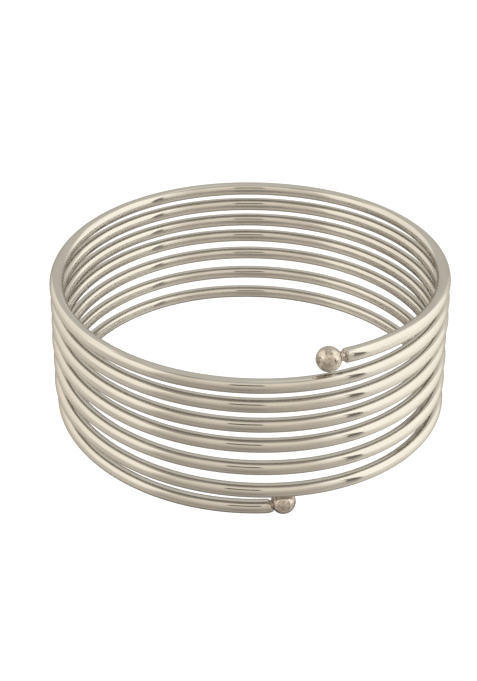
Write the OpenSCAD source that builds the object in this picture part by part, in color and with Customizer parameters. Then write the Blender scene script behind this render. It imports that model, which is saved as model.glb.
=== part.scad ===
// Spring coil bangle of round wire with a ball on each end, lying with its axis upright.
// The origin is on the resting surface, in the middle of the coil.
// Angles run round the axis from the front, -Y, through the right, +X, and the wire sinks as they grow.

/* [Wire] */
// Diameter of the wire
wire_d = 2.3; // [1.8:0.1:2.3]
// Angle where the upper end of the wire has its full thickness
start_angle = 27.2; // [26.2:0.1:40]
// Angle where the lower end has it, counted from the front of the last turn
end_angle = 7; // [3:0.5:7]
// Length of the rounded shoulder at each end
shoulder_len = 0.3; // [0.2:0.1:0.5]
// Diameter of the neck that carries each ball
neck_d = 1.5; // [0.9:0.1:1.6]

/* [Balls] */
// Diameter of each ball
ball_d = 3.95; // [3.4:0.05:3.95]
// Angle of the upper ball's centre
upper_ball_angle = 21.9; // [20:0.1:22]
// How far the upper ball hangs below the line of its wire
upper_ball_drop = 0.1; // [0:0.1:0.4]
// Angle of the lower ball's centre, counted from the front of the last turn
lower_ball_angle = 11.15; // [11.15:0.05:13]
// How far the lower ball sits inside the line of its wire
lower_ball_inset = 0.3; // [0.3:0.05:0.6]
// Clearance between each neck and the hole it sits in
neck_gap = 0.04; // [0.02:0.01:0.1]
// How far past the ball's centre each hole goes
hole_past = 0.3; // [0:0.1:0.8]

/* [Facets] */
// Rings of points in each turn of the wire
rings_per_turn = 60; // [36:4:64]
// Sides of the wire
wire_sides = 12; // [10:1:12]

/* [Hidden] */
$fn = 64;

// Height of the wire's axis at the four quarters of each turn, top turn first
FRONT = 0;
RIGHT = 1;
REAR = 2;
LEFT = 3;
// Distance of the wire's axis from the middle at the right and left of each turn
RIGHT_R = 4;
LEFT_R = 5;
turns = [
    // front, right, rear, left, right radius, left radius
    [28.4, 26.55, 23.75, 23.75, 31.45, 32.45],
    [24.65, 23.25, 20.5, 20.5, 31.6, 32.4],
    [21.2, 19.6, 17.15, 16.95, 31.8, 32.4],
    [17.5, 15.9, 13.75, 13.65, 31.8, 32.45],
    [13.85, 12.1, 9.9, 9.55, 32.1, 32.35],
    [9.55, 7.65, 5.55, 5.45, 32.3, 32.35],
    [5.2, 3.2, 1.2, 1.35, 32.5, 32.0],
];
// Heights that the wire runs towards after its last turn: front, right
run_out = [1.5, 1.7];

wire_r = wire_d / 2;
neck_r = neck_d / 2;
ball_r = ball_d / 2;
turn_count = len(turns);
last_front = 360 * turn_count;
wire_end = last_front + end_angle;
ring_step = 360 / rings_per_turn;
ring_count = floor((wire_end - start_angle) / ring_step);

// The wire's section at the shoulder: share of its length, share of the wire's radius
shoulder = [[0, 1], [0.4, 0.98], [0.75, 0.93], [1, 0.86]];

heights = concat([for (t = turns) each [t[FRONT], t[RIGHT], t[REAR], t[LEFT]]], run_out);
radii = [for (t = turns) each [t[RIGHT_R], t[LEFT_R]]];

// Value of a list at a place between its entries, on a smooth curve through all of them
function entry(list, i) = list[max(0, min(len(list) - 1, i))];
function smooth(list, at) =
    let (i = floor(at), s = at - i)
    let (a = entry(list, i - 1), b = entry(list, i), c = entry(list, i + 1), d = entry(list, i + 2))
    b + s / 2 * (c - a + s * (2 * a - 5 * b + 4 * c - d + s * (3 * (b - c) + d - a)));

// Axis of the wire: no part of it is lower than where the wire lies on the surface. The lower ball holds
// the front of the last turn a little above it.
function axis_height(angle) = max(wire_r, smooth(heights, angle / 90));
function axis_radius(angle) = smooth(radii, (angle - 90) / 180);
function outward(angle) = [sin(angle), -cos(angle), 0];
function axis_point(angle) = axis_radius(angle) * outward(angle) + [0, 0, axis_height(angle)];
function unit(v) = v / norm(v);
function heading(angle) = unit(axis_point(angle + 0.5) - axis_point(angle - 0.5));

// Centre of each ball: the upper one near the wire's own line, the lower one on the surface
upper_centre = axis_point(upper_ball_angle) - [0, 0, upper_ball_drop];
lower_centre = (axis_radius(last_front + lower_ball_angle) - lower_ball_inset)
    * outward(lower_ball_angle) + [0, 0, ball_r];
upper_end = axis_point(start_angle);
lower_end = axis_point(wire_end);

// One ring of points round a centre, square to the direction that the wire has there
function ring(centre, along, out, radius) =
    let (side = unit(out - (out * along) * along), rise = cross(along, side))
    [for (k = [0:wire_sides - 1])
        centre + radius * (cos(360 * k / wire_sides) * side + sin(360 * k / wire_sides) * rise)];

// Rings of the shoulder and the neck, from the full wire to the neck's tip inside the ball
function end_rings(base, heading_out, centre, out, turned) =
    let (reach = centre - base, span = norm(reach), dir = unit(reach))
    let (tip = dir * (span + hole_past - neck_gap))
    concat(
        [for (s = shoulder)
            ring(base + dir * shoulder_len * s[0], turned * unit(heading_out + s[0] * (dir - heading_out)),
                out, wire_r * s[1])],
        [for (p = [dir * shoulder_len, tip])
            ring(base + p, turned * dir, out, neck_r)]);

upper_rings = end_rings(upper_end, -heading(start_angle), upper_centre, outward(start_angle), -1);
lower_rings = end_rings(lower_end, heading(wire_end), lower_centre, outward(wire_end), 1);
wire_rings = [for (k = [1:ring_count - 1])
    let (angle = start_angle + k * (wire_end - start_angle) / ring_count)
    ring(axis_point(angle), heading(angle), outward(angle), wire_r)];

// Solid skin over a row of rings, with a flat cap of triangles at each end
module skin(rings) {
    n = wire_sides;
    last = (len(rings) - 1) * n;
    polyhedron(
        points = [for (r = rings) each r],
        faces = concat(
            [for (j = [0:len(rings) - 2], k = [0:n - 1])
                let (a = j * n + k, b = j * n + (k + 1) % n)
                each [[a, a + n, b], [b, a + n, b + n]]],
            [for (k = [1:n - 2]) each [[0, k, k + 1], [last, last + k + 1, last + k]]]),
        convexity = 12);
}

module coil() {
    reversed = [for (k = [len(upper_rings) - 1:-1:0]) upper_rings[k]];
    color([0.80, 0.76, 0.68]) skin(concat(reversed, wire_rings, lower_rings));
}

// A ball drilled from the side that faces the wire's end
module ball(centre, base) {
    reach = base - centre;
    translate(centre) difference() {
        sphere(d = ball_d);
        rotate([0, acos(reach.z / norm(reach)), atan2(reach.y, reach.x)])
            translate([0, 0, -hole_past]) cylinder(r = neck_r + neck_gap, h = ball_d);
    }
}

module upper_ball() {
    color([0.72, 0.66, 0.60]) ball(upper_centre, upper_end);
}

module lower_ball() {
    color([0.72, 0.66, 0.60]) ball(lower_centre, lower_end);
}

coil();
upper_ball();
lower_ball();
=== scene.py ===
import math
from collections import namedtuple

import bmesh
import bpy
from mathutils import Matrix, Vector, noise


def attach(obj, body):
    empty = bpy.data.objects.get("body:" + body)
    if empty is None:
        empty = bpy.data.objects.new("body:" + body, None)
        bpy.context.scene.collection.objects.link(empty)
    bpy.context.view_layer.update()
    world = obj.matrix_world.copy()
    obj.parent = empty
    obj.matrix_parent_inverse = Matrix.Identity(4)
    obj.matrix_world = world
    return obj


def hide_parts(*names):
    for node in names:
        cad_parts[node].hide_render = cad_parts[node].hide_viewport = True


# Looks of the spring coil bangle: a smooth polished wire and two slightly uneven cast balls, on a pale
# floor in soft studio light. Sizes are in millimetres as in the part's source, and become metres in mesh
# code. Angles run round the coil's axis from the front, -Y, through the right, +X, in degrees, and the
# wire sinks as they grow.

MM = 0.001

# Sizes, as in the part's source

WIRE_R = 1.15
START_ANGLE = 27.2
END_ANGLE = 7.0
SHOULDER_LEN = 0.3
NECK_R = 0.75
BALL_R = 1.975
UPPER_BALL_ANGLE = 21.9
UPPER_BALL_DROP = 0.1
LOWER_BALL_ANGLE = 11.15
LOWER_BALL_INSET = 0.3

# Each turn: height of the wire's axis at the front, right, rear and left, and its distance from the
# middle at the right and at the left
TURNS = [
    (28.4, 26.55, 23.75, 23.75, 31.45, 32.45),
    (24.65, 23.25, 20.5, 20.5, 31.6, 32.4),
    (21.2, 19.6, 17.15, 16.95, 31.8, 32.4),
    (17.5, 15.9, 13.75, 13.65, 31.8, 32.45),
    (13.85, 12.1, 9.9, 9.55, 32.1, 32.35),
    (9.55, 7.65, 5.55, 5.45, 32.3, 32.35),
    (5.2, 3.2, 1.2, 1.35, 32.5, 32.0),
]
RUN_OUT = (1.5, 1.7)
HEIGHTS = [h for turn in TURNS for h in turn[:4]] + list(RUN_OUT)
RADII = [r for turn in TURNS for r in turn[4:]]
LAST_FRONT = 360 * len(TURNS)
WIRE_END = LAST_FRONT + END_ANGLE

# Finish of the wire's ends: how much thinner the wire is at the rim of each end, and, for the lower one,
# how much earlier it starts to thin and how far its end face leans back at the top
RIM_SHRINK = 0.14
LOWER_RIM_SHRINK = 0.08
LOWER_EARLY = 0.3
LOWER_LEAN = 0.3

# Solder round the necks: how far it stands out next to the wire, the share of that next to the ball, and
# its lumps as a share of its thickness and as a number in each millimetre
SOLDER_FILLET = 0.13
FILLET_AT_BALL = 0.4
SOLDER_LUMPS = 0.05
LUMPS_PER_MM = 2.6
# Solder on the wire next to the necks: where it starts to fade and where it ends, from the wire's tip
SOLDER_FILM = (0.9, 2.1)

# How far each neck starts inside the wire's end face, and how far it runs into the ball
NECK_OVERLAP = 0.01
NECK_INTO_BALL = 0.3

# Dents that hand polishing left on the balls, long and short: depth and width; and their mean depth
LONG_DENTS = (0.02, 1.2)
SHORT_DENTS = (0.005, 0.4)
MEAN_DENT = 0.01

# Fineness of the visible meshes
WIRE_SIDES = 40
RINGS_PER_TURN = 144
RIM_STEPS = 8
NECK_STEPS = 14
BALL_SUBDIVISIONS = 6


def smooth(values, at):
    """Value at a place between the entries of a list, on a smooth curve through all of them."""
    i = math.floor(at)
    s = at - i
    a, b, c, d = (values[max(0, min(len(values) - 1, k))] for k in range(i - 1, i + 3))
    return b + s / 2 * (c - a + s * (2 * a - 5 * b + 4 * c - d + s * (3 * (b - c) + d - a)))


def outward(angle):
    t = math.radians(angle)
    return Vector((math.sin(t), -math.cos(t), 0))


def axis_radius(angle):
    return smooth(RADII, (angle - 90) / 180)


def axis_point(angle):
    height = max(WIRE_R, smooth(HEIGHTS, angle / 90))
    return axis_radius(angle) * outward(angle) + Vector((0, 0, height))


def heading(angle):
    return (axis_point(angle + 0.5) - axis_point(angle - 0.5)).normalized()


UPPER_END = axis_point(START_ANGLE)
UPPER_CENTRE = axis_point(UPPER_BALL_ANGLE) - Vector((0, 0, UPPER_BALL_DROP))
LOWER_CENTRE = (axis_radius(LAST_FRONT + LOWER_BALL_ANGLE) - LOWER_BALL_INSET) * outward(LOWER_BALL_ANGLE)
LOWER_CENTRE.z = BALL_R

# One end of the wire: where it starts to thin, its heading away from the wire, the ball's centre, the
# outward direction, 1 where the rows of points run towards the ball and -1 where they run away from it,
# how much earlier than its shoulder it thins, by what share, and how far its end face leans back
End = namedtuple("End", "base heading centre out turned early shrink lean")

# Meshes


def new_object(name, mesh):
    obj = bpy.data.objects.new(name, mesh)
    bpy.context.scene.collection.objects.link(obj)
    return obj


def ring(centre, along, out, radius):
    """Points round a centre, square to the direction that the wire has there."""
    side = (out - out.dot(along) * along).normalized()
    rise = along.cross(side)
    turns = [2 * math.pi * k / WIRE_SIDES for k in range(WIRE_SIDES)]
    return [centre + radius * (math.cos(t) * side + math.sin(t) * rise) for t in turns]


def rim_rings(end, direction, length):
    """Rings over the rounded rim of the wire's end, which lie more and more square to the neck."""
    rings = []
    bend = direction + Vector((0, 0, end.lean)) - end.heading
    for k in range(RIM_STEPS + 1):
        t = math.radians(90 * k / RIM_STEPS)
        along = (end.heading + math.sin(t) * bend).normalized() * end.turned
        radius = WIRE_R * (1 - end.shrink + end.shrink * math.cos(t))
        rings.append(ring(end.base + direction * length * math.sin(t), along, end.out, radius))
    return rings


def neck_rings(end, direction, start, stop):
    """Rings over the neck from the wire's end face to the ball, thick and lumpy with solder."""
    rings = []
    for k in range(NECK_STEPS + 1):
        share = k / NECK_STEPS
        middle = end.base + direction * (start + (stop - start) * share)
        fillet = SOLDER_FILLET * abs(2 * share - 1) ** 3 * (1 if share < 0.5 else FILLET_AT_BALL)
        points = ring(middle, direction * end.turned, end.out, NECK_R + fillet)
        lumps = [SOLDER_LUMPS * noise.noise(p * LUMPS_PER_MM) for p in points]
        rings.append([p + (p - middle) * lump for p, lump in zip(points, lumps)])
    return rings


def end_rings(end):
    """All rings of one end: those over its rim, and those over the neck up to inside the ball."""
    reach = end.centre - end.base
    direction = reach.normalized()
    length = SHOULDER_LEN + end.early
    neck_end = reach.length - BALL_R + NECK_INTO_BALL
    return rim_rings(end, direction, length), neck_rings(end, direction, length - NECK_OVERLAP, neck_end)


def skin(rings, neck_rows):
    """Mesh over a row of rings, with a map of the length along it and the way round it; and its length."""
    bm = bmesh.new()
    rows = [[bm.verts.new(p * MM) for p in r] for r in rings]
    uv = bm.loops.layers.uv.new("along")
    length = 0
    for j in range(len(rows) - 1):
        span = (rings[j + 1][0] - rings[j][0]).length
        for k in range(WIRE_SIDES):
            m = (k + 1) % WIRE_SIDES
            face = bm.faces.new((rows[j][k], rows[j][m], rows[j + 1][m], rows[j + 1][k]))
            face.smooth = True
            face.material_index = 1 if j in neck_rows else 0
            corners = ((length, k), (length, k + 1), (length + span, k + 1), (length + span, k))
            for loop, (u, v) in zip(face.loops, corners):
                loop[uv].uv = (u, v / WIRE_SIDES)
        length += span
    bm.faces.new(rows[0][::-1])
    bm.faces.new(rows[-1])
    mesh = bpy.data.meshes.new("wire_coil")
    bm.normal_update()
    bm.to_mesh(mesh)
    bm.free()
    return mesh, length


def make_wire():
    """The whole wire from the neck in the upper ball to the neck in the lower one, with its materials."""
    last = WIRE_END - math.degrees(LOWER_EARLY / axis_radius(WIRE_END))
    count = math.floor((last - START_ANGLE) * RINGS_PER_TURN / 360)
    angles = [START_ANGLE + k * (last - START_ANGLE) / count for k in range(1, count)]
    coil = [ring(axis_point(a), heading(a), outward(a), WIRE_R) for a in angles]
    upper = End(UPPER_END, -heading(START_ANGLE), UPPER_CENTRE, outward(START_ANGLE), -1, 0, RIM_SHRINK, 0)
    lower = End(
        axis_point(last), heading(last), LOWER_CENTRE, outward(last), 1, LOWER_EARLY, LOWER_RIM_SHRINK,
        LOWER_LEAN)
    upper_rim, upper_neck = end_rings(upper)
    lower_rim, lower_neck = end_rings(lower)
    rings = (upper_rim + upper_neck)[::-1] + coil + lower_rim + lower_neck
    neck_rows = set(range(len(upper_neck))) | set(range(len(rings) - len(lower_neck) - 1, len(rings)))
    mesh, length = skin(rings, neck_rows)
    mesh.materials.append(wire_metal(length))
    mesh.materials.append(neck_metal())
    return new_object("wire_coil", mesh)


def make_ball(name, centre, seed):
    """A cast ball, polished by hand: nearly round, with shallow dents of two sizes."""
    bm = bmesh.new()
    bmesh.ops.create_icosphere(bm, subdivisions=BALL_SUBDIVISIONS, radius=1)
    for v in bm.verts:
        n = v.co.normalized()
        dents = sum(
            depth * noise.noise(n * BALL_R / width + seed) for depth, width in (LONG_DENTS, SHORT_DENTS))
        v.co = (centre + n * (BALL_R - MEAN_DENT + dents)) * MM
    for f in bm.faces:
        f.smooth = True
    mesh = bpy.data.meshes.new(name)
    bm.to_mesh(mesh)
    bm.free()
    return new_object(name, mesh)


# Materials

# Marks on the wire, in millimetres: width, how much of it counts along the wire, and depth
DRAW_LINES = (0.16, 0.02, 0.0005)
WAVES = (1.1, 0.25, 0.005)
SCRATCHES = (0.25, 0.3, 0.0004)
SCRATCH_EDGE = 0.06
# Patches on the wire without depth: width, and how much of it counts along the wire
CLOUDS = (1.2, 0.15)
HAZE_PATCHES = (0.9, 0.3)
# Colours are pairs, the darkest and the brightest; haze is how rough the metal is
WIRE_COLOURS = ((0.615, 0.597, 0.572), (0.65, 0.632, 0.608))
WIRE_EDGE = (0.75, 0.73, 0.7, 1)
WIRE_HAZE = (0.025, 0.055)
# Solder on the wire: colours, width of their patches, added haze, and width and depth of its lumps
SOLDER_COLOURS = ((0.4, 0.35, 0.32), (0.74, 0.7, 0.66))
SOLDER_STAIN = 0.25
SOLDER_HAZE = 0.25
SOLDER_BUMPS = (0.3, 0.03)
# Thin and thick places of that solder: their width, and the least share of solder
SOLDER_PATCHES = (0.35, 0.2)

# Necks and balls: colours with the width of their patches and how finely these break up, haze with its
# width, and the pits' colour, their width and the noise between which they fade in
NECK_COLOURS = ((0.4, 0.34, 0.31), (0.8, 0.73, 0.67), 0.35, 2)
NECK_HAZE = (0.2, 0.45, 0.3)
NECK_PITS = ((0.13, 0.1, 0.09), 0.22, 0.6, 0.8)
NECK_METAL = 0.6
BALL_COLOURS = ((0.48, 0.43, 0.395), (0.7, 0.645, 0.595), 0.8, 3)
BALL_HAZE = (0.05, 0.13, 0.5)
BALL_PITS = ((0.25, 0.21, 0.18), 0.3, 0.72, 0.95)
# Their bumps in millimetres: width and depth
NECK_BUMPS = (0.25, 0.04)
BALL_RIPPLES = (0.45, 0.02)
BALL_GRAIN = (0.18, 0.004)

# The values that soft noise mostly stays between
NOISE_RANGE = (0.3, 0.7)


def new_material(name):
    material = bpy.data.materials.new(name)
    material.use_nodes = True
    return material, material.node_tree, material.node_tree.nodes["Principled BSDF"]


def calculate(tree, operation, a, b=0, c=0):
    """A math node of a node tree, fed by sockets or numbers."""
    node = tree.nodes.new("ShaderNodeMath")
    node.operation = operation
    for socket, value in zip(node.inputs, (a, b, c)):
        if isinstance(value, bpy.types.NodeSocket):
            tree.links.new(value, socket)
        else:
            socket.default_value = value
    return node.outputs[0]


def spread(tree, value, start, end, low, high, smooth_step=False):
    """A value between start and end, spread over low to high."""
    node = tree.nodes.new("ShaderNodeMapRange")
    node.interpolation_type = "SMOOTHSTEP" if smooth_step else "LINEAR"
    for socket, v in zip(node.inputs, (value, start, end, low, high)):
        if isinstance(v, bpy.types.NodeSocket):
            tree.links.new(v, socket)
        else:
            socket.default_value = v
    return node.outputs["Result"]


def within(tree, value, centre, half, soft, whole_turn=False):
    """1 where a value is within half of a centre, and down to 0 over a soft edge."""
    away = calculate(tree, "SUBTRACT", value, centre)
    if whole_turn:
        away = calculate(tree, "WRAP", away, 180, -180)
    away = calculate(tree, "ABSOLUTE", away)
    return spread(tree, away, half - soft / 2, half + soft / 2, 1, 0, smooth_step=True)


def stretched(tree, place, along, across=1):
    """A place on the wire with its length and its section scaled apart."""
    node = tree.nodes.new("ShaderNodeVectorMath")
    node.operation = "MULTIPLY"
    tree.links.new(place, node.inputs[0])
    node.inputs[1].default_value = (along, across, across)
    return node.outputs[0]


def grain(tree, place, size, low=0, high=1, detail=2):
    """Noise with features of a size in the place's units, spread over low to high."""
    texture = tree.nodes.new("ShaderNodeTexNoise")
    tree.links.new(place, texture.inputs["Vector"])
    texture.inputs["Scale"].default_value = 1 / size
    texture.inputs["Detail"].default_value = detail
    return spread(tree, texture.outputs["Fac"], *NOISE_RANGE, low, high)


def relief(tree, height, depth, below=None):
    """Bump of a depth in millimetres, on top of another one."""
    node = tree.nodes.new("ShaderNodeBump")
    node.inputs["Distance"].default_value = depth * MM
    tree.links.new(height, node.inputs["Height"])
    if below:
        tree.links.new(below, node.inputs["Normal"])
    return node.outputs[0]


def blend(tree, share, low, high):
    """A colour between two, by a share."""
    node = tree.nodes.new("ShaderNodeMix")
    node.data_type = "RGBA"
    tree.links.new(share, node.inputs["Factor"])
    for socket, colour in ((node.inputs["A"], low), (node.inputs["B"], high)):
        if isinstance(colour, bpy.types.NodeSocket):
            tree.links.new(colour, socket)
        else:
            socket.default_value = (*colour, 1)
    return node.outputs["Result"]


def place_on_wire(tree):
    """Millimetres along the wire, and the place on its round section, without a seam."""
    uv = tree.nodes.new("ShaderNodeUVMap")
    uv.uv_map = "along"
    split = tree.nodes.new("ShaderNodeSeparateXYZ")
    tree.links.new(uv.outputs[0], split.inputs[0])
    turn = calculate(tree, "MULTIPLY", split.outputs["Y"], 2 * math.pi)
    join = tree.nodes.new("ShaderNodeCombineXYZ")
    tree.links.new(split.outputs["X"], join.inputs["X"])
    for axis, wave in (("Y", "COSINE"), ("Z", "SINE")):
        tree.links.new(calculate(tree, "MULTIPLY", calculate(tree, wave, turn), WIRE_R), join.inputs[axis])
    return join.outputs[0]


def place_in_space(tree):
    """The place of a point of the bangle in millimetres."""
    place = tree.nodes.new("ShaderNodeTexCoord").outputs["Object"]
    return stretched(tree, place, 1 / MM, 1 / MM)


def solder_film(tree, place, length):
    """Share of solder on the wire: patchy next to both necks, none elsewhere."""
    split = tree.nodes.new("ShaderNodeSeparateXYZ")
    tree.links.new(place, split.inputs[0])
    from_start = split.outputs["X"]
    from_tip = calculate(tree, "MINIMUM", from_start, calculate(tree, "SUBTRACT", length, from_start))
    near = spread(tree, from_tip, *SOLDER_FILM, 1, 0, smooth_step=True)
    return calculate(tree, "MULTIPLY", near, grain(tree, place, *SOLDER_PATCHES))


def wire_relief(tree, place, film):
    """Draw lines, long gentle waves, a few scratches and the solder's lumps."""
    width, along, depth = DRAW_LINES
    normal = relief(tree, grain(tree, stretched(tree, place, along), width), depth)
    width, along, depth = WAVES
    normal = relief(tree, grain(tree, stretched(tree, place, along), width, detail=0), depth, normal)
    width, along, depth = SCRATCHES
    rub = grain(tree, stretched(tree, place, along), width, detail=0)
    away = calculate(tree, "ABSOLUTE", calculate(tree, "SUBTRACT", rub, 0.5))
    normal = relief(tree, spread(tree, away, 0, SCRATCH_EDGE, 0, 1), depth, normal)
    width, depth = SOLDER_BUMPS
    return relief(tree, calculate(tree, "MULTIPLY", film, grain(tree, place, width)), depth, normal)


def wire_metal(length):
    """Drawn and polished metal with cloudy patches, dulled by a patchy film of solder next to the necks."""
    material, tree, shader = new_material("wire_metal")
    place = place_on_wire(tree)
    film = solder_film(tree, place, length)
    width, along = CLOUDS
    colour = blend(tree, grain(tree, stretched(tree, place, along), width), *WIRE_COLOURS)
    solder = blend(tree, grain(tree, place, SOLDER_STAIN), *SOLDER_COLOURS)
    tree.links.new(blend(tree, film, colour, solder), shader.inputs["Base Color"])
    width, along = HAZE_PATCHES
    haze = grain(tree, stretched(tree, place, along), width, *WIRE_HAZE)
    tree.links.new(calculate(tree, "MULTIPLY_ADD", film, SOLDER_HAZE, haze), shader.inputs["Roughness"])
    tree.links.new(wire_relief(tree, place, film), shader.inputs["Normal"])
    shader.inputs["Metallic"].default_value = 1
    shader.inputs["Specular Tint"].default_value = WIRE_EDGE
    return material


def pitted_metal(name, colours, pits, haze, metal):
    """A material with stained colours, dark pits and uneven haze, still without bumps."""
    material, tree, shader = new_material(name)
    place = place_in_space(tree)
    dark, bright, width, detail = colours
    colour = blend(tree, grain(tree, place, width, detail=detail), dark, bright)
    pit_colour, width, start, end = pits
    pit = spread(tree, grain(tree, place, width), start, end, 0, 1)
    tree.links.new(blend(tree, pit, colour, pit_colour), shader.inputs["Base Color"])
    low, high, width = haze
    tree.links.new(grain(tree, place, width, low, high), shader.inputs["Roughness"])
    shader.inputs["Metallic"].default_value = metal
    return material, tree, shader, place


def neck_metal():
    """Solder round a neck: dull and stained, with dark pits."""
    material, tree, shader, place = pitted_metal(
        "neck_metal", NECK_COLOURS, NECK_PITS, NECK_HAZE, NECK_METAL)
    width, depth = NECK_BUMPS
    tree.links.new(relief(tree, grain(tree, place, width), depth), shader.inputs["Normal"])
    return material


def ball_metal():
    """Cast metal, polished but uneven: shallow ripples, small pits and tarnish between the bright patches."""
    material, tree, shader, place = pitted_metal("ball_metal", BALL_COLOURS, BALL_PITS, BALL_HAZE, 1)
    width, depth = BALL_RIPPLES
    ripples = relief(tree, grain(tree, place, width), depth)
    width, depth = BALL_GRAIN
    tree.links.new(relief(tree, grain(tree, place, width), depth, ripples), shader.inputs["Normal"])
    return material


# Stage, light and camera

# The photograph's view: the camera looks at a point on the axis from the front and above. The focal
# length, the point's place in the picture and the picture's size are in pixels, the sensor's width is in
# millimetres, and the nearest and farthest things that the camera sees are in metres.
AIM = Vector((0, 0, 14)) * MM
DISTANCE = 241.5 * MM
ELEVATION = 33.3
ROLL = 2.2
FOCAL = 1417.2
AIM_AT = (250.85, 327.08)
PICTURE = (477, 681)
SENSOR = 36
CLIP = (0.01, 10)

# The floor: its reach in metres, how metallic and how rough it is, its colours in painted shade and in
# painted light, and the glow for the camera. Its colour carries painted light: it brightens from left to
# right and from front to back: start and end in millimetres, and share of each
FLOOR_REACH = 3
FLOOR_METAL = 0.8
FLOOR_ROUGHNESS = 0.3
FLOOR_PAINTED_SHADE = (0.57, 0.565, 0.56)
FLOOR_PAINTED_LIGHT = (1, 0.99, 0.98)
FLOOR_PAINTED_FADE_X = (-20, 100, 0.6)
FLOOR_PAINTED_FADE_Y = (-45, 5, 0.5)
FLOOR_GLOW = 1.15


def make_camera():
    e, roll = math.radians(ELEVATION), math.radians(ROLL)
    level, rise = Vector((1, 0, 0)), Vector((0, math.sin(e), math.cos(e)))
    back = Vector((0, -math.cos(e), math.sin(e)))
    right = math.cos(roll) * level + math.sin(roll) * rise
    up = math.cos(roll) * rise - math.sin(roll) * level
    data = bpy.data.cameras.new("camera")
    data.sensor_width = SENSOR
    data.lens = FOCAL / max(PICTURE) * SENSOR
    data.shift_x = (PICTURE[0] / 2 - AIM_AT[0]) / max(PICTURE)
    data.shift_y = (AIM_AT[1] - PICTURE[1] / 2) / max(PICTURE)
    data.clip_start, data.clip_end = CLIP
    camera = bpy.data.objects.new("camera", data)
    bpy.context.scene.collection.objects.link(camera)
    place = AIM + DISTANCE * back
    camera.matrix_world = Matrix.Translation(place) @ Matrix((right, up, back)).transposed().to_4x4()
    bpy.context.scene.camera = camera


def floor_sheet_painted_light():
    """A glossy pale material, which glows so evenly that the camera sees it white.

    What the bangle mirrors of it has painted light and shade in its colour: darker, most of all in front,
    away from the large lamp, and brighter towards it and to the back.
    """
    material, tree, shader = new_material("floor_sheet_painted_light")
    nodes, links = tree.nodes, tree.links
    split = nodes.new("ShaderNodeSeparateXYZ")
    links.new(nodes.new("ShaderNodeTexCoord").outputs["Object"], split.inputs[0])
    # Painted light and shade: the floor's colour is darker in front and on the left, and brighter to the
    # right and to the back.
    painted_light_shares = [
        spread(tree, split.outputs[axis], start * MM, end * MM, 0, share, smooth_step=True)
        for axis, (start, end, share) in (("X", FLOOR_PAINTED_FADE_X), ("Y", FLOOR_PAINTED_FADE_Y))]
    painted_light_colour = blend(tree, calculate(tree, "ADD", *painted_light_shares), FLOOR_PAINTED_SHADE, FLOOR_PAINTED_LIGHT)
    links.new(painted_light_colour, shader.inputs["Base Color"])
    shader.inputs["Metallic"].default_value = FLOOR_METAL
    shader.inputs["Roughness"].default_value = FLOOR_ROUGHNESS
    glow = nodes.new("ShaderNodeEmission")
    glow.inputs["Color"].default_value = (1, 1, 1, 1)
    glow.inputs["Strength"].default_value = FLOOR_GLOW
    seen = nodes.new("ShaderNodeLightPath")
    choice = nodes.new("ShaderNodeMixShader")
    links.new(seen.outputs["Is Camera Ray"], choice.inputs[0])
    links.new(shader.outputs[0], choice.inputs[1])
    links.new(glow.outputs[0], choice.inputs[2])
    links.new(choice.outputs[0], nodes["Material Output"].inputs["Surface"])
    return material


def make_floor():
    bm = bmesh.new()
    bmesh.ops.create_grid(bm, x_segments=1, y_segments=1, size=FLOOR_REACH)
    mesh = bpy.data.meshes.new("floor")
    bm.to_mesh(mesh)
    bm.free()
    mesh.materials.append(floor_sheet_painted_light())
    floor = new_object("floor", mesh)


# The studio round the bangle, seen from it. Each card has an azimuth and an elevation, half a width and
# half a height, the widths of its soft sides and of its soft top and bottom, all in degrees, its
# brightness at the bottom and at the top, and a tint. Later cards cover earlier ones. Azimuths run as
# the angles above: 0 is the camera's side and 90 is to its right.
PALE = (1, 0.96, 0.85)
CREAM = (1, 0.925, 0.8)
WARM = (1, 0.9, 0.755)
ROOM = (0.56, 0.5, 0.42)
CARDS = {
    "ceiling": (0, 80, 200, 18, 1, 10, 0.64, 0.62, PALE),
    "ceiling_right": (130, 70, 46, 10, 14, 12, 0.86, 0.74, PALE),
    "back_wall": (183, 28, 38, 36, 12, 10, 0.61, 0.62, PALE),
    "back_lamp": (172, 14, 4, 4, 5, 5, 0.82, 0.82, PALE),
    "front_wall": (4, 27, 64, 38, 12, 24, 0.5, 0.95, WARM),
    "front_glow": (34, 40, 20, 10, 18, 12, 0.84, 0.88, WARM),
    "left_screen": (-122, 23, 21, 29, 9, 10, 0.9, 1.13, CREAM),
    "left_low": (-76, 0, 26, 12, 10, 8, 0.78, 0.82, CREAM),
    "left_lamp": (-77, 33, 26, 24, 14, 12, 1.08, 1.22, CREAM),
    "left_top_shade": (-62, 66, 20, 9, 16, 14, 0.46, 0.42, CREAM),
    "right_top_shade": (60, 69, 14, 5, 14, 10, 0.48, 0.44, CREAM),
    "right_glow": (53, 34, 9, 20, 10, 16, 0.92, 0.94, CREAM),
    "right_lamp": (99, 25, 39, 35, 10, 8, 1.17, 1.28, PALE),
    "right_lamp_side": (140, 8, 5, 22, 8, 10, 0.84, 0.84, PALE),
    "right_lamp_corner": (141, 44, 10, 6, 8, 8, 1.04, 1.06, PALE),
    "camera_stand": (0.5, 36.5, 10, 8, 4, 4, 0.5, 0.5, WARM),
    "camera": (1, 40, 10.3, 6.2, 3, 3, 0.06, 0.06, WARM),
}
# A dark seam crosses the ceiling from left to right just in front of the bangle, and bends to the back
# at both ends: its place, bend, half width, softness and half length, for a ceiling at a height of one
SEAM = (0.165, 0.7, 0.045, 0.08, 0.42)
SEAM_COLOUR = (0.34, 0.31, 0.26)
# A dark gap stands between the front wall and the right lamp, leans to the right and narrows as it rises:
# its azimuth and half width at the horizon, how much both change per degree of elevation, the softness
# of its sides, the elevations where it fades out at the top, and its colours at the bottom and the top
GAP = (59, 5.3, 0.12, -0.09, 2)
GAP_TOP = (34, 48)
GAP_LOW = (0.12, 0.105, 0.085)
GAP_HIGH = (0.34, 0.31, 0.26)
# How much brighter than the cards' own numbers the studio is
STUDIO_LIGHT = 1.19


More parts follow.
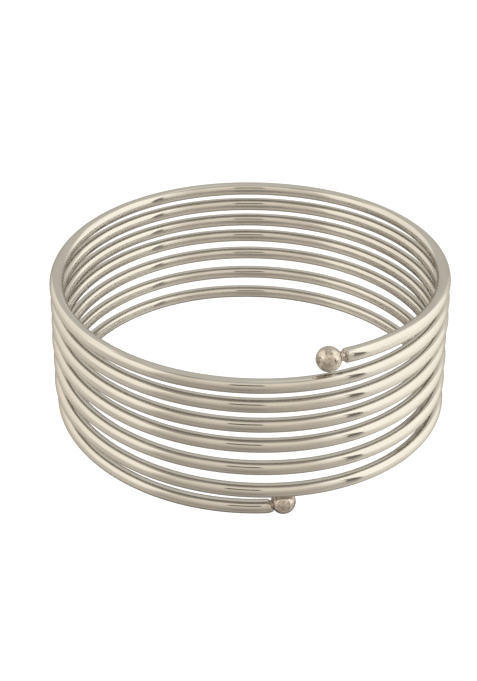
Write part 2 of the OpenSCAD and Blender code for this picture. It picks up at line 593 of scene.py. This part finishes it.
def lay_card(tree, colour, azimuth, elevation, card):
    """The studio's colour with one more card over it."""
    az, el, half_az, half_el, soft_az, soft_el, low, high, tint = card
    mask = calculate(
        tree, "MULTIPLY",
        within(tree, azimuth, az, half_az, soft_az, whole_turn=True),
        within(tree, elevation, el, half_el, soft_el))
    level = spread(tree, elevation, el - half_el, el + half_el, low, high)
    lit = tree.nodes.new("ShaderNodeVectorMath")
    lit.operation = "SCALE"
    lit.inputs[0].default_value = tint
    tree.links.new(level, lit.inputs["Scale"])
    return blend(tree, mask, colour, lit.outputs[0])


def lay_seam(tree, colour, x, front):
    """The studio's colour with the ceiling's seam over it."""
    place, bend, half, soft, half_length = SEAM
    bowed = calculate(tree, "MULTIPLY_ADD", calculate(tree, "MULTIPLY", x, x), bend, front)
    seam = calculate(
        tree, "MULTIPLY",
        within(tree, bowed, place, half, soft),
        within(tree, x, 0, half_length, soft))
    return blend(tree, seam, colour, SEAM_COLOUR)


def lay_gap(tree, colour, azimuth, elevation):
    """The studio's colour with the dark gap beside the right lamp over it."""
    place, half, lean, widening, soft = GAP
    fade_start, fade_end = GAP_TOP
    middle = calculate(tree, "MULTIPLY_ADD", elevation, lean, place)
    reach = calculate(tree, "MULTIPLY_ADD", elevation, widening, half)
    away = calculate(tree, "ABSOLUTE", calculate(tree, "SUBTRACT", azimuth, middle))
    past = calculate(tree, "SUBTRACT", away, reach)
    inside = spread(tree, past, -soft / 2, soft / 2, 1, 0, smooth_step=True)
    below = spread(tree, elevation, fade_start, fade_end, 1, 0, smooth_step=True)
    dark = blend(tree, spread(tree, elevation, 0, fade_start, 0, 1), GAP_LOW, GAP_HIGH)
    return blend(tree, calculate(tree, "MULTIPLY", inside, below), colour, dark)


def make_world():
    world = bpy.data.worlds.new("studio")
    bpy.context.scene.world = world
    world.use_nodes = True
    tree = world.node_tree
    split = tree.nodes.new("ShaderNodeSeparateXYZ")
    tree.links.new(tree.nodes.new("ShaderNodeTexCoord").outputs["Generated"], split.inputs[0])
    x, y, z = split.outputs
    front = calculate(tree, "MULTIPLY", y, -1)
    azimuth = calculate(tree, "DEGREES", calculate(tree, "ARCTAN2", x, front))
    elevation = calculate(tree, "DEGREES", calculate(tree, "ARCSINE", z))
    colour = ROOM
    for card in CARDS.values():
        colour = lay_card(tree, colour, azimuth, elevation, card)
    colour = lay_seam(tree, colour, x, front)
    colour = lay_gap(tree, colour, azimuth, elevation)
    background = tree.nodes["Background"]
    tree.links.new(colour, background.inputs["Color"])
    background.inputs["Strength"].default_value = STUDIO_LIGHT


# The scene

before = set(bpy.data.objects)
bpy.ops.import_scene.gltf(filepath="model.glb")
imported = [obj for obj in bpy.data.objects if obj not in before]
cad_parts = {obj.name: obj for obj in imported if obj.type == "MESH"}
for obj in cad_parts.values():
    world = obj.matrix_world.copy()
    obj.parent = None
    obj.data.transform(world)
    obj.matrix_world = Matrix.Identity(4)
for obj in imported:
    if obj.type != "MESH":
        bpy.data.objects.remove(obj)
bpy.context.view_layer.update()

wire = make_wire()
ball_finish = ball_metal()
upper_ball = make_ball("upper_ball_cast", UPPER_CENTRE, Vector((3, 1, 7)))
lower_ball = make_ball("lower_ball_cast", LOWER_CENTRE, Vector((9, 4, 2)))
for ball in (upper_ball, lower_ball):
    ball.data.materials.append(ball_finish)

pieces = (wire, "coil", "wire"), (upper_ball, "upper_ball", "ball"), (lower_ball, "lower_ball", "ball")
for piece, node, slot in pieces:
    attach(piece, "root")
    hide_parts(node)

make_floor()
make_world()
make_camera()
bpy.context.scene.view_settings.view_transform = "Standard"
